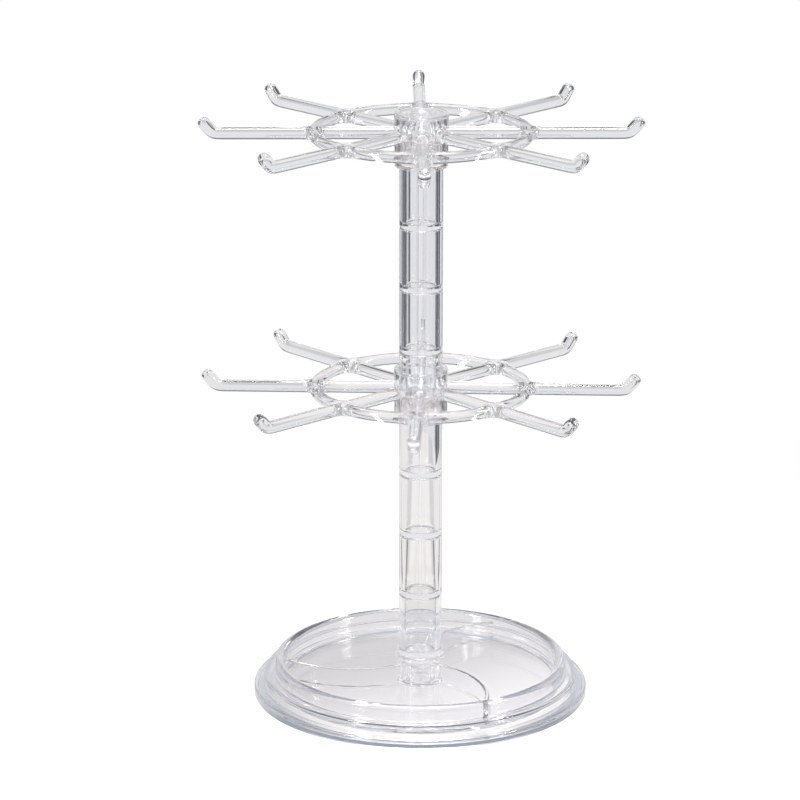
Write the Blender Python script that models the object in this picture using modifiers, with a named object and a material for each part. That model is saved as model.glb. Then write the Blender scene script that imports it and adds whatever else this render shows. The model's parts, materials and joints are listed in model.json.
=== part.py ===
"""A two-tier rotating jewelry stand moulded in clear plastic.

A stepped round tray with three curved dividers carries a column made of half-tube mouldings.
Each of the two tiers is a drum with eight hooked arms tied together by a ring. A tier sits on
a ribbed collar and turns on the column by itself, under a ring or a cap that keeps it down.
Sizes below are in millimetres. Blender's units are metres, with +Z up and the stand on z = 0.
"""
import math

import bmesh
import bpy
from mathutils import Matrix

MM = 0.001

# Fits
CLEARANCE = 0.3            # left between two pieces that touch, and round what turns

# Tray
TRAY_RADIUS = 85.7         # outer edge of the lip that rests on the table
LEDGE_WIDTH = 5.2          # from the lip's edge in to the step
STEP_WIDTH = 5.4           # from the step's edge in to the rim
RIM_WIDTH = 5.2            # thickness of the round rim
LIP_HEIGHT = 4.9           # table to the top of the lip
STEP_HEIGHT = 5.8          # lip to the top of the step
RIM_HEIGHT = 7.7           # step to the crown of the rim
TRAY_WALL = 2.4            # floor, skirt and inner wall
FLOOR_LIFT = 3.3           # underside of the floor above the table
TRAY_FILLET = 1.2          # inside corners of the floor
EDGE_ROUND = 1.0           # outside corners of the skirt

# Tray dividers
DIVIDER_COUNT = 3
DIVIDER_THICKNESS = 2.0
DIVIDER_DROP = 2.8         # top of a divider below the crown of the rim
DIVIDER_BOW = 11.3         # how far a divider's middle bows from its straight line
DIVIDER_START = -151.0     # degrees round from +X where the first one leaves the boss
DIVIDER_SWEEP = -32.5      # degrees it swings round on its way out to the rim
DIVIDER_EDGE = 0.5         # softened edges

# Boss in the middle of the tray, and the foot that plugs into it
BOSS_HEIGHT = 9.7          # above the floor
BOSS_WALL = 3.3
SPIGOT_RADIUS = 7.6
SPIGOT_WALL = 2.0
FOOT_FLOOR = 3.4           # thickness of the flange under the column
FOOT_CUP_DEPTH = 1.5       # how deep the column stands in the foot
FOOT_FLANGE = 1.4          # flange beyond the column's side

# Column mouldings
COLUMN_RADIUS = 11.0
COLUMN_WALL = 3.2
COLUMN_LENGTH = 130.0
BAY_PITCH = 32.45          # from one stiffening disc to the next
DISC_THICKNESS = 2.6
BAY_ROUND = 1.0            # rounded corners of a bay
LOWER_SEAM_TURN = -4.0     # degrees the seam's front line lies round from straight ahead
UPPER_SEAM_TURN = -8.0

# Collars that join the column and carry the tiers
COLLAR_WALL = 2.2
COLLAR_LOWER_SOCKET = 3.7  # depth over the column's top end
COLLAR_WEB = 1.5
COLLAR_UPPER_SOCKET = 9.8  # depth round what stands in it
COLLAR_GROOVE_COUNT = 24
COLLAR_GROOVE_WIDTH = 1.5

# Drum in the middle of a tier
HUB_WALL = 2.4
HUB_ABOVE = 10.3           # arm centreline to the drum's top
HUB_BELOW = 1.5            # arm centreline to the drum's underside
RECESS_LIP = 0.95          # wall left outside the recess in the drum's top
RECESS_DEPTH = 2.0
COVER_THICKNESS = 1.4      # cap and retaining ring
CAP_PLUG_LENGTH = 6.0
EDGE_CHAMFER = 0.5

# Arms and ring of a tier
ARM_COUNT = 8
ARM_REACH = 107.8          # axis to the middle of a hook's round tip
ROD_RADIUS = 3.25
ROOT_DEPTH = 0.5           # how far an arm is let into the drum's wall
HOOK_ANGLE = 48.0          # degrees the hook rises at
HOOK_BEND_RADIUS = 4.5
HOOK_RISE = 4.8            # arm centreline to the middle of the tip
TIP_ROUNDING = 75.0        # degrees of round before the tip's small flat end
RING_RADIUS = 53.5
RING_TUBE_RADIUS = 3.0
CROSSING_FILLET = 3.0      # rounded corners where the ring crosses an arm
CROSSING_THICKNESS = 3.6
UPPER_TIER_TURN = 0.8      # degrees each tier is turned in its rest position
LOWER_TIER_TURN = -1.8

# Smoothness
TRAY_STEPS = 48
ROUND_STEPS = 28
COLUMN_STEPS = 24
RING_STEPS = 40
RING_SIDES = 8
ROD_BEVEL_RESOLUTION = 2
BEND_STEPS = 3
TIP_STEPS = 2
CROSSING_STEPS = 2
RIM_ROUND_STEPS = 4
DIVIDER_STEPS = 10

# Radii that follow from the sizes above
SOCKET_RADIUS = COLUMN_RADIUS + CLEARANCE
HUB_RADIUS = SOCKET_RADIUS + HUB_WALL
ARM_START = HUB_RADIUS - ROOT_DEPTH
COLLAR_RADIUS = SOCKET_RADIUS + COLLAR_WALL
NECK_RADIUS = ARM_START - CLEARANCE
RECESS_RADIUS = HUB_RADIUS - RECESS_LIP
COVER_RADIUS = RECESS_RADIUS - CLEARANCE
COLUMN_BORE = COLUMN_RADIUS - COLUMN_WALL
BOSS_BORE = SPIGOT_RADIUS + CLEARANCE
BOSS_RADIUS = BOSS_BORE + BOSS_WALL
STEP_RADIUS = TRAY_RADIUS - LEDGE_WIDTH
RIM_RADIUS = STEP_RADIUS - STEP_WIDTH
TRAY_INSIDE = RIM_RADIUS - RIM_WIDTH

# Heights that follow, from the table up
FLOOR_TOP = FLOOR_LIFT + TRAY_WALL
STEP_TOP = LIP_HEIGHT + STEP_HEIGHT
RIM_TOP = STEP_TOP + RIM_HEIGHT
BOSS_TOP = FLOOR_TOP + BOSS_HEIGHT
FOOT_BASE = BOSS_TOP + CLEARANCE
LOWER_COLUMN_BASE = FOOT_BASE + FOOT_FLOOR + CLEARANCE
LOWER_WEB = LOWER_COLUMN_BASE + COLUMN_LENGTH + CLEARANCE
UPPER_COLUMN_BASE = LOWER_WEB + COLLAR_WEB + CLEARANCE
UPPER_WEB = UPPER_COLUMN_BASE + COLUMN_LENGTH + CLEARANCE
WEB_TO_ARMS = COLLAR_WEB + COLLAR_UPPER_SOCKET + CLEARANCE + HUB_BELOW
LOWER_TIER_HEIGHT = LOWER_WEB + WEB_TO_ARMS
UPPER_TIER_HEIGHT = UPPER_WEB + WEB_TO_ARMS

# Heights inside a drum, from the arm centreline
COVER_BASE = HUB_ABOVE - RECESS_DEPTH + CLEARANCE
COVER_TOP = COVER_BASE + COVER_THICKNESS


def new_collection(name):
    """Add a collection to the scene."""
    collection = bpy.data.collections.new(name)
    bpy.context.scene.collection.children.link(collection)
    return collection


def clear_plastic(name, colour, roughness):
    """A see-through moulded plastic with its own slight tint."""
    material = bpy.data.materials.new(name)
    material.use_nodes = True
    shader = material.node_tree.nodes["Principled BSDF"]
    shader.inputs["Base Color"].default_value = (*colour, 1.0)
    shader.inputs["Roughness"].default_value = roughness
    shader.inputs["Metallic"].default_value = 0.0
    shader.inputs["IOR"].default_value = 1.49
    shader.inputs["Transmission Weight"].default_value = 1.0
    material.diffuse_color = (*colour, 1.0)
    return material


def add_part(name, mesh, material, height=0.0, turn=0.0):
    """Put a finished mesh into the stand at its height, turned about the axis by some degrees."""
    part = bpy.data.objects.new(name, mesh)
    parts.objects.link(part)
    part.location.z = height * MM
    part.rotation_euler.z = math.radians(turn)
    if not mesh.materials:
        mesh.materials.append(material)
    mesh.shade_smooth()
    mesh.set_sharp_from_angle(angle=math.radians(35.0))
    return part


def add_tool(name, mesh):
    """Add a shape that only cuts or joins another."""
    tool = bpy.data.objects.new(name, mesh)
    tools.objects.link(tool)
    tool.hide_render = True
    tool.display_type = "WIRE"
    return tool


def settled_mesh(source, name):
    """The mesh that an object's modifiers or curve settings give, with its caps welded on."""
    graph = bpy.context.evaluated_depsgraph_get()
    mesh = bpy.data.meshes.new_from_object(source.evaluated_get(graph))
    mesh.name = name
    weld = bmesh.new()
    weld.from_mesh(mesh)
    bmesh.ops.remove_doubles(weld, verts=weld.verts, dist=1e-6)
    weld.to_mesh(mesh)
    weld.free()
    bpy.data.objects.remove(source)
    return mesh


def turned(name, profile, steps):
    """Turn a profile of (radius, height) about the axis. It runs down the outer side."""
    mesh = bpy.data.meshes.new(name)
    line = bmesh.new()
    points = [line.verts.new((radius * MM, 0.0, height * MM)) for radius, height in profile]
    for above, below in zip(points, points[1:]):
        line.edges.new((above, below))
    if profile[0][0] > 0.0:
        line.edges.new((points[-1], points[0]))
    line.to_mesh(mesh)
    line.free()
    blank = add_tool(name, mesh)
    screw = blank.modifiers.new("Turn", "SCREW")
    screw.axis = "Z"
    screw.angle = math.tau
    screw.steps = steps
    screw.render_steps = steps
    screw.use_merge_vertices = True
    screw.merge_threshold = 0.00005
    return blank


def shaped(blank, operation, tool_objects):
    """Cut or join a blank with tools, then clear the tools away."""
    for tool in tool_objects:
        boolean = blank.modifiers.new(tool.name, "BOOLEAN")
        boolean.operation = operation
        boolean.solver = "EXACT"
        boolean.object = tool
    mesh = settled_mesh(blank, blank.name)
    for tool in tool_objects:
        bpy.data.objects.remove(tool)
    return mesh


def ring_of_copies(name, mesh, count, radius=0.0, start=0.0):
    """A tool made of equal copies of a mesh, spaced evenly round the axis."""
    copies = bmesh.new()
    for index in range(count):
        before = len(copies.verts)
        copies.from_mesh(mesh)
        copies.verts.ensure_lookup_table()
        angle = math.radians(start) + math.tau * index / count
        place = Matrix.Rotation(angle, 4, "Z") @ Matrix.Translation((radius * MM, 0.0, 0.0))
        bmesh.ops.transform(copies, matrix=place, verts=copies.verts[before:])
    together = bpy.data.meshes.new(name)
    copies.to_mesh(together)
    copies.free()
    return add_tool(name, together)


def arc(centre, radius, start, end, count):
    """Points along an arc, from one angle to another in degrees, both ends included."""
    angles = [math.radians(start + (end - start) * step / count) for step in range(count + 1)]
    return [(centre[0] + radius * math.cos(a), centre[1] + radius * math.sin(a)) for a in angles]


def tray_profile():
    """The tray's section, from the floor of the boss's socket out over the rim and back under."""
    rim_round = RIM_WIDTH / 2
    crown = (RIM_RADIUS - rim_round, RIM_TOP - rim_round)
    boss = [
        (0.0, FLOOR_TOP),
        (BOSS_BORE, FLOOR_TOP),
        (BOSS_BORE, BOSS_TOP),
        (BOSS_RADIUS - EDGE_ROUND, BOSS_TOP),
        (BOSS_RADIUS, BOSS_TOP - EDGE_ROUND),
    ]
    floor = [
        (BOSS_RADIUS, FLOOR_TOP + TRAY_FILLET),
        (BOSS_RADIUS + TRAY_FILLET, FLOOR_TOP),
        *arc((TRAY_INSIDE - TRAY_FILLET, FLOOR_TOP + TRAY_FILLET), TRAY_FILLET, -90.0, 0.0, 1),
    ]
    rim = arc(crown, rim_round, 180.0, 0.0, RIM_ROUND_STEPS)
    skirt = [
        (RIM_RADIUS, STEP_TOP + EDGE_ROUND),
        (RIM_RADIUS + EDGE_ROUND, STEP_TOP),
        (STEP_RADIUS - EDGE_ROUND, STEP_TOP),
        (STEP_RADIUS, STEP_TOP - EDGE_ROUND),
        *arc((STEP_RADIUS + EDGE_ROUND, LIP_HEIGHT + EDGE_ROUND), EDGE_ROUND, 180.0, 270.0, 1),
        (TRAY_RADIUS - EDGE_ROUND, LIP_HEIGHT),
        (TRAY_RADIUS, LIP_HEIGHT - EDGE_ROUND),
        (TRAY_RADIUS, 0.0),
    ]
    underside = [
        (TRAY_RADIUS - TRAY_WALL, 0.0),
        (TRAY_RADIUS - TRAY_WALL, LIP_HEIGHT - TRAY_WALL),
        (STEP_RADIUS - TRAY_WALL, LIP_HEIGHT - TRAY_WALL),
        (STEP_RADIUS - TRAY_WALL, STEP_TOP - TRAY_WALL),
        (TRAY_INSIDE + TRAY_WALL, STEP_TOP - TRAY_WALL),
        (TRAY_INSIDE + TRAY_WALL, FLOOR_LIFT),
        (0.0, FLOOR_LIFT),
    ]
    return boss + floor + rim + skirt + underside


def divider_tool():
    """The curved dividers, each a bowed strip given its thickness, let into boss and rim wall."""
    inner = BOSS_RADIUS - BOSS_WALL / 2
    outer = TRAY_INSIDE + TRAY_WALL / 2
    start_angle = math.radians(DIVIDER_START)
    end_angle = math.radians(DIVIDER_START + DIVIDER_SWEEP)
    start = (inner * math.cos(start_angle), inner * math.sin(start_angle))
    end = (outer * math.cos(end_angle), outer * math.sin(end_angle))
    chord = math.dist(start, end)
    bend_radius = (chord ** 2 / 4 + DIVIDER_BOW ** 2) / (2 * DIVIDER_BOW)
    along = ((end[0] - start[0]) / chord, (end[1] - start[1]) / chord)
    across = (along[1], -along[0])
    middle = ((start[0] + end[0]) / 2, (start[1] + end[1]) / 2)
    back = bend_radius - DIVIDER_BOW
    centre = (middle[0] + across[0] * back, middle[1] + across[1] * back)
    first = math.degrees(math.atan2(start[1] - centre[1], start[0] - centre[0]))
    half_sweep = math.degrees(math.asin(chord / 2 / bend_radius))
    foot = FLOOR_LIFT + TRAY_WALL / 2
    top = RIM_TOP - DIVIDER_DROP

    curve = bpy.data.curves.new("divider", "CURVE")
    curve.dimensions = "3D"
    curve.extrude = (top - foot) / 2 * MM
    route = arc(centre, bend_radius, first, first - 2 * half_sweep, DIVIDER_STEPS)
    spline = curve.splines.new("POLY")
    spline.points.add(len(route) - 1)
    for point, (x, y) in zip(spline.points, route):
        point.co = (x * MM, y * MM, (foot + top) / 2 * MM, 1.0)
    strip = add_tool("divider", settled_mesh(add_tool("divider_line", curve), "divider"))
    wall = strip.modifiers.new("Thickness", "SOLIDIFY")
    wall.thickness = DIVIDER_THICKNESS * MM
    wall.offset = 0.0
    edge = strip.modifiers.new("Soft edges", "BEVEL")
    edge.width = DIVIDER_EDGE * MM
    edge.segments = 1
    edge.limit_method = "ANGLE"
    edge.angle_limit = math.radians(60.0)
    return ring_of_copies("dividers", settled_mesh(strip, "divider"), DIVIDER_COUNT)


def build_tray():
    """The tray: a turned, hollow-skirted moulding with its dividers."""
    blank = turned("base_tray", tray_profile(), TRAY_STEPS)
    mesh = shaped(blank, "UNION", [divider_tool()])
    add_part("base_tray", mesh, clear_plastic("tray_plastic", (0.93, 0.94, 0.97), 0.04))


def build_foot():
    """The foot: a shallow cup round the column's end over a hollow spigot in the boss."""
    spigot_base = FLOOR_TOP + CLEARANCE
    cup_floor = FOOT_BASE + FOOT_FLOOR
    cup_top = cup_floor + FOOT_CUP_DEPTH
    flange_radius = COLUMN_RADIUS + FOOT_FLANGE
    cup_lip = (SOCKET_RADIUS + flange_radius) / 2
    profile = [
        (0.0, cup_floor),
        (SOCKET_RADIUS, cup_floor),
        (SOCKET_RADIUS, cup_top),
        (cup_lip, cup_top),
        (flange_radius, cup_floor + FOOT_CUP_DEPTH / 2),
        (flange_radius, FOOT_BASE),
        (SPIGOT_RADIUS, FOOT_BASE),
        (SPIGOT_RADIUS, spigot_base),
        (SPIGOT_RADIUS - SPIGOT_WALL, spigot_base),
        (SPIGOT_RADIUS - SPIGOT_WALL, FOOT_BASE),
        (0.0, FOOT_BASE),
    ]
    mesh = settled_mesh(turned("column_foot", profile, ROUND_STEPS), "column_foot")
    add_part("column_foot", mesh, clear_plastic("foot_plastic", (0.92, 0.93, 0.96), 0.05))


def bay_tool():
    """The hollow bays of a column, with a disc left between each two and at both ends."""
    room = COLUMN_LENGTH - 2 * DISC_THICKNESS
    full_bays = int(room // BAY_PITCH)
    lengths = [BAY_PITCH - DISC_THICKNESS] * full_bays
    last_length = COLUMN_LENGTH - full_bays * BAY_PITCH - 2 * DISC_THICKNESS
    if last_length > DISC_THICKNESS:
        lengths.append(last_length)
    bays = bmesh.new()
    base = DISC_THICKNESS
    for length in lengths:
        place = Matrix.Translation((0.0, 0.0, (base + length / 2) * MM))
        bmesh.ops.create_cone(
            bays, cap_ends=True, segments=COLUMN_STEPS, radius1=COLUMN_BORE * MM,
            radius2=COLUMN_BORE * MM, depth=length * MM, matrix=place)
        base += length + DISC_THICKNESS
    rims = [edge for edge in bays.edges if abs(edge.verts[0].co.z - edge.verts[1].co.z) < 1e-7]
    bmesh.ops.bevel(
        bays, geom=rims, offset=BAY_ROUND * MM, offset_type="OFFSET", segments=1,
        profile=0.5, affect="EDGES", material=-1)
    mesh = bpy.data.meshes.new("bays")
    bays.to_mesh(mesh)
    bays.free()
    return add_tool("bays", mesh)


def half_space_tool():
    """A block over the side of the seam that a column half leaves to the other half."""
    block = bmesh.new()
    width = 2 * COLUMN_RADIUS
    bmesh.ops.create_cube(block, size=1.0)
    bmesh.ops.scale(block, vec=(width * MM, 2 * width * MM, 2 * COLUMN_LENGTH * MM), verts=block.verts)
    middle = ((width - CLEARANCE) / 2 * MM, 0.0, COLUMN_LENGTH / 2 * MM)
    bmesh.ops.translate(block, vec=middle, verts=block.verts)
    mesh = bpy.data.meshes.new("half_space")
    block.to_mesh(mesh)
    block.free()
    return add_tool("half_space", mesh)


def build_columns():
    """Four equal half-tube mouldings. The upper pair stands upside down on the lower pair."""
    profile = [(0.0, COLUMN_LENGTH), (COLUMN_RADIUS, COLUMN_LENGTH), (COLUMN_RADIUS, 0.0), (0.0, 0.0)]
    blank = turned("column_half", profile, COLUMN_STEPS)
    mesh = shaped(blank, "DIFFERENCE", [bay_tool(), half_space_tool()])
    plastic = clear_plastic("column_plastic", (0.93, 0.94, 0.96), 0.05)
    top = UPPER_COLUMN_BASE + COLUMN_LENGTH
    for side, turn in (("left", 0.0), ("right", 180.0)):
        add_part(f"lower_column_{side}", mesh, plastic, LOWER_COLUMN_BASE, turn + LOWER_SEAM_TURN)
        upper = add_part(f"upper_column_{side}", mesh, plastic, top, turn + UPPER_SEAM_TURN)
        upper.rotation_euler.x = math.pi


def groove_tool():
    """Upright grooves that leave gripping ribs round a collar's upper socket."""
    depth = (NECK_RADIUS - SOCKET_RADIUS) / 2
    base = COLLAR_WEB + CLEARANCE
    height = COLLAR_UPPER_SOCKET
    groove = bmesh.new()
    bmesh.ops.create_cube(groove, size=1.0)
    size = (2 * depth * MM, COLLAR_GROOVE_WIDTH * MM, height * MM)
    bmesh.ops.scale(groove, vec=size, verts=groove.verts)
    bmesh.ops.translate(groove, vec=(0.0, 0.0, (base + height / 2) * MM), verts=groove.verts)
    mesh = bpy.data.meshes.new("groove")
    groove.to_mesh(mesh)
    groove.free()
    return ring_of_copies("grooves", mesh, COLLAR_GROOVE_COUNT, SOCKET_RADIUS)


def build_collars():
    """Two equal collars. Each joins what stands in it to the column below and carries a tier."""
    neck_top = COLLAR_WEB + COLLAR_UPPER_SOCKET
    shoulder = neck_top + CLEARANCE + HUB_BELOW - ROD_RADIUS - CLEARANCE
    profile = [
        (0.0, COLLAR_WEB),
        (SOCKET_RADIUS, COLLAR_WEB),
        (SOCKET_RADIUS, neck_top),
        (NECK_RADIUS, neck_top),
        (NECK_RADIUS, shoulder),
        (COLLAR_RADIUS - EDGE_CHAMFER, shoulder),
        (COLLAR_RADIUS, shoulder - EDGE_CHAMFER),
        (COLLAR_RADIUS, EDGE_CHAMFER - COLLAR_LOWER_SOCKET),
        (COLLAR_RADIUS - EDGE_CHAMFER, -COLLAR_LOWER_SOCKET),
        (SOCKET_RADIUS, -COLLAR_LOWER_SOCKET),
        (SOCKET_RADIUS, 0.0),
        (0.0, 0.0),
    ]
    mesh = shaped(turned("collar", profile, ROUND_STEPS), "DIFFERENCE", [groove_tool()])
    plastic = clear_plastic("collar_plastic", (0.90, 0.88, 0.88), 0.06)
    add_part("lower_collar", mesh, plastic, LOWER_WEB)
    add_part("upper_collar", mesh, plastic, UPPER_WEB)


def build_spindle():
    """The short tube that stands in the upper collar where the column would go on."""
    base = -(COLLAR_UPPER_SOCKET + CLEARANCE + HUB_BELOW) + CLEARANCE
    top = COVER_BASE - CLEARANCE
    profile = [
        (0.0, base + DISC_THICKNESS),
        (COLUMN_BORE, base + DISC_THICKNESS),
        (COLUMN_BORE, top),
        (COLUMN_RADIUS, top),
        (COLUMN_RADIUS, base),
        (0.0, base),
    ]
    mesh = settled_mesh(turned("top_spindle", profile, ROUND_STEPS), "top_spindle")
    plastic = clear_plastic("spindle_plastic", (0.93, 0.94, 0.96), 0.05)
    add_part("top_spindle", mesh, plastic, UPPER_TIER_HEIGHT)


def build_covers():
    """What keeps the tiers down: a ring round the column, and a cap plugged into the spindle."""
    plug_radius = COLUMN_BORE - CLEARANCE
    ring_profile = [
        (SOCKET_RADIUS, COVER_TOP),
        (COVER_RADIUS, COVER_TOP),
        (COVER_RADIUS, COVER_BASE),
        (SOCKET_RADIUS, COVER_BASE),
    ]
    cap_profile = [
        (0.0, COVER_TOP),
        (COVER_RADIUS - EDGE_CHAMFER, COVER_TOP),
        (COVER_RADIUS, COVER_TOP - EDGE_CHAMFER),
        (COVER_RADIUS, COVER_BASE),
        (plug_radius, COVER_BASE),
        (plug_radius, COVER_BASE - CAP_PLUG_LENGTH),
        (plug_radius - SPIGOT_WALL, COVER_BASE - CAP_PLUG_LENGTH),
        (plug_radius - SPIGOT_WALL, COVER_BASE),
        (0.0, COVER_BASE),
    ]
    ring_mesh = settled_mesh(turned("retaining_ring", ring_profile, ROUND_STEPS), "retaining_ring")
    cap_mesh = settled_mesh(turned("top_cap", cap_profile, ROUND_STEPS), "top_cap")
    plastic = clear_plastic("ring_plastic", (0.90, 0.91, 0.94), 0.05)
    add_part("retaining_ring", ring_mesh, plastic, LOWER_TIER_HEIGHT)
    plastic = clear_plastic("cap_plastic", (0.91, 0.92, 0.95), 0.04)
    add_part("top_cap", cap_mesh, plastic, UPPER_TIER_HEIGHT)


def arm_tool():
    """The hooked arms: a straight rod, a short bend up, and a tip rounded like a ball."""
    angle = math.radians(HOOK_ANGLE)
    bend_rise = HOOK_BEND_RADIUS * (1.0 - math.cos(angle))
    tail = (HOOK_RISE - bend_rise) / math.sin(angle)
    bend_start = ARM_REACH - HOOK_BEND_RADIUS * math.sin(angle) - tail * math.cos(angle)
    bend = arc((bend_start, HOOK_BEND_RADIUS), HOOK_BEND_RADIUS, -90.0, HOOK_ANGLE - 90.0, BEND_STEPS)
    route = [((ARM_START, 0.0), 1.0)] + [(point, 1.0) for point in bend]
    for step in range(TIP_STEPS + 1):
        rounding = math.radians(TIP_ROUNDING * step / TIP_STEPS)
        ahead = ROD_RADIUS * math.sin(rounding)
        point = (ARM_REACH + ahead * math.cos(angle), HOOK_RISE + ahead * math.sin(angle))
        route.append((point, math.cos(rounding)))

    curve = bpy.data.curves.new("arm", "CURVE")
    curve.dimensions = "3D"
    curve.bevel_depth = ROD_RADIUS * MM
    curve.bevel_resolution = ROD_BEVEL_RESOLUTION
    curve.use_fill_caps = True
    spline = curve.splines.new("POLY")
    spline.points.add(len(route) - 1)
    for point, ((out, up), thickness) in zip(spline.points, route):
        point.co = (out * MM, 0.0, up * MM, 1.0)
        point.radius = thickness
    arm = settled_mesh(add_tool("arm_line", curve), "arm")
    return ring_of_copies("arms", arm, ARM_COUNT)


def ring_tool():
    """The ring that ties the arms together."""
    bpy.ops.mesh.primitive_torus_add(
        major_segments=RING_STEPS, minor_segments=RING_SIDES,
        major_radius=RING_RADIUS * MM, minor_radius=RING_TUBE_RADIUS * MM)
    made = bpy.context.object
    mesh = made.data
    bpy.data.objects.remove(made)
    return add_tool("ring", mesh)


def crossing_tool():
    """The rounded corners at each crossing: a four-cornered plate with hollow sides."""
    inside = 0.9 * min(ROD_RADIUS, RING_TUBE_RADIUS)
    reach = inside + CROSSING_FILLET
    outline = []
    for quarter in range(4):
        corner = math.radians(90.0 * quarter + 45.0)
        centre = (math.copysign(reach, math.cos(corner)), math.copysign(reach, math.sin(corner)))
        first = 90.0 * quarter + 270.0
        outline += arc(centre, CROSSING_FILLET, first, first - 90.0, CROSSING_STEPS)
    curve = bpy.data.curves.new("crossing", "CURVE")
    curve.dimensions = "2D"
    curve.fill_mode = "BOTH"
    curve.extrude = CROSSING_THICKNESS / 2 * MM
    spline = curve.splines.new("POLY")
    spline.points.add(len(outline) - 1)
    spline.use_cyclic_u = True
    for point, (x, y) in zip(spline.points, outline):
        point.co = (x * MM, y * MM, 0.0, 1.0)
    plate = settled_mesh(add_tool("crossing_outline", curve), "crossing")
    return ring_of_copies("crossings", plate, ARM_COUNT, RING_RADIUS)


def build_tiers():
    """Two equal tiers, each one moulding: drum, eight hooked arms, ring and rounded crossings."""
    drum = [
        (SOCKET_RADIUS, HUB_ABOVE - RECESS_DEPTH),
        (RECESS_RADIUS, HUB_ABOVE - RECESS_DEPTH),
        (RECESS_RADIUS, HUB_ABOVE),
        (HUB_RADIUS - RECESS_LIP / 2, HUB_ABOVE),
        (HUB_RADIUS, HUB_ABOVE - RECESS_LIP / 2),
        (HUB_RADIUS, -HUB_BELOW),
        (SOCKET_RADIUS, -HUB_BELOW),
    ]
    blank = turned("tier", drum, ROUND_STEPS)
    mesh = shaped(blank, "UNION", [arm_tool(), ring_tool(), crossing_tool()])
    plastic = clear_plastic("tier_plastic", (0.94, 0.95, 0.97), 0.04)
    add_part("lower_tier", mesh, plastic, LOWER_TIER_HEIGHT, LOWER_TIER_TURN)
    add_part("upper_tier", mesh, plastic, UPPER_TIER_HEIGHT, UPPER_TIER_TURN)


for old in list(bpy.data.objects):
    bpy.data.objects.remove(old)

parts = new_collection("rotating_jewelry_stand")
tools = new_collection("shaping_tools")

build_tray()
build_foot()
build_columns()
build_collars()
build_spindle()
build_covers()
build_tiers()
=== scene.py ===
# %% [markdown]
# A rotating jewelry stand in clear plastic.
# The real stand is an injection moulding job. A stepped tray carries a column of half tubes, and two
# tiers of hooked arms turn on the column. All of it is one water-clear plastic, so there is no paint or
# grain to look at. What the eye reads are bent pictures of the room, thin dark lines at the edges and
# small bright glints on rounded corners. This lesson therefore spends its care on three things: round
# and true shapes, softened corners, and a room that is worth bending.

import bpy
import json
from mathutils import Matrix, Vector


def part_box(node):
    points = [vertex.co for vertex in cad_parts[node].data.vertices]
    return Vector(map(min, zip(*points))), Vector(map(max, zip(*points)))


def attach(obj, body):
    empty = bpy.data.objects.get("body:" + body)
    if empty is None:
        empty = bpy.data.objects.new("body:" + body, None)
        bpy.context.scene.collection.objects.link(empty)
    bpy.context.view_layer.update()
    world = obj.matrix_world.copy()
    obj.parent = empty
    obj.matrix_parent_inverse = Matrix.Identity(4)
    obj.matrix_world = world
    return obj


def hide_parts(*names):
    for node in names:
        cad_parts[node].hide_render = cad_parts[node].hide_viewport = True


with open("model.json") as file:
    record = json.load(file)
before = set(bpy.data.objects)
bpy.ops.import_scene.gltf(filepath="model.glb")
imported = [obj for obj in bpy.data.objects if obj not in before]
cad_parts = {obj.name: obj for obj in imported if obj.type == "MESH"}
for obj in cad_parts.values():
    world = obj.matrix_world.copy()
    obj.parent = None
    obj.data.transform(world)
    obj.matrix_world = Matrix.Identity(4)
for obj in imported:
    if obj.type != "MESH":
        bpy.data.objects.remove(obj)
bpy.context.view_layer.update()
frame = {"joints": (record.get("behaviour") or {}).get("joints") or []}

# %% [markdown]
# The stand's own sizes are written in millimetres, as on a drawing. Blender's units are metres, so each
# piece is scaled once, when it is finished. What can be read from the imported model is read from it: the
# tray's radius, the columns' ends, and the height of each tier, which is where its joint is.

# %% Sizes read from the frame
import json
import math

import bmesh
import bpy
from mathutils import Matrix, Vector

MM = 0.001
CLEARANCE = 0.3            # between two pieces that touch, and round what turns
COLLAR_WALL = 2.2


def span(node, axis):
    """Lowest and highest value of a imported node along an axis, in millimetres."""
    low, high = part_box(node)
    return low[axis] / MM, high[axis] / MM


joint_height = {joint["child"]: joint["pos_m"][2] / MM for joint in frame["joints"]}
tray_radius = span("base_tray", 0)[1]
column_span = {place: span(f"{place}_column_left", 2) for place in ("lower", "upper")}
column_radius = span("lower_collar", 0)[1] - COLLAR_WALL - CLEARANCE
print(f"tray radius {tray_radius:.1f}, column radius {column_radius:.1f} mm")
print("tier heights", {name: round(height, 1) for name, height in joint_height.items()})

# %% [markdown]
# The camera comes first, because it decides how much detail is worth making. The photograph looks down
# on the stand by about 17 degrees through a long lens from 2.2 m away, which keeps the tiers' ellipses
# almost alike. Its place, tilt and lens were worked out from the sixteen hook tips, the two rings, the
# tray's outlines and the column's width. A camera set by eye would be quicker to make, but a render
# couldn't be laid over the photograph then.

# %% Camera
CAMERA_PLACE = (0.0, -2.0314, 0.7723)   # metres
CAMERA_DOWN = 16.876                    # degrees below the horizon
CAMERA_PAN = 0.297                      # degrees to the left
CAMERA_ROLL = 0.06                      # degrees
CAMERA_LENS = 188.45                    # millimetres
SENSOR_WIDTH = 36.0                     # millimetres
NEAR_LIMIT = 0.05                       # metres, nothing nearer than this is drawn

camera_data = bpy.data.cameras.new("camera")
camera_data.lens = CAMERA_LENS
camera_data.sensor_width = SENSOR_WIDTH
camera_data.clip_start = NEAR_LIMIT
camera = bpy.data.objects.new("camera", camera_data)
bpy.context.scene.collection.objects.link(camera)
camera.matrix_world = (
    Matrix.Translation(CAMERA_PLACE)
    @ Matrix.Rotation(math.radians(CAMERA_PAN), 4, "Z")
    @ Matrix.Rotation(math.radians(90.0 - CAMERA_DOWN), 4, "X")
    @ Matrix.Rotation(math.radians(CAMERA_ROLL), 4, "Z")
)
bpy.context.scene.camera = camera
print("camera", round(Vector(CAMERA_PLACE).length, 2), "m from the stand's foot")

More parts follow.
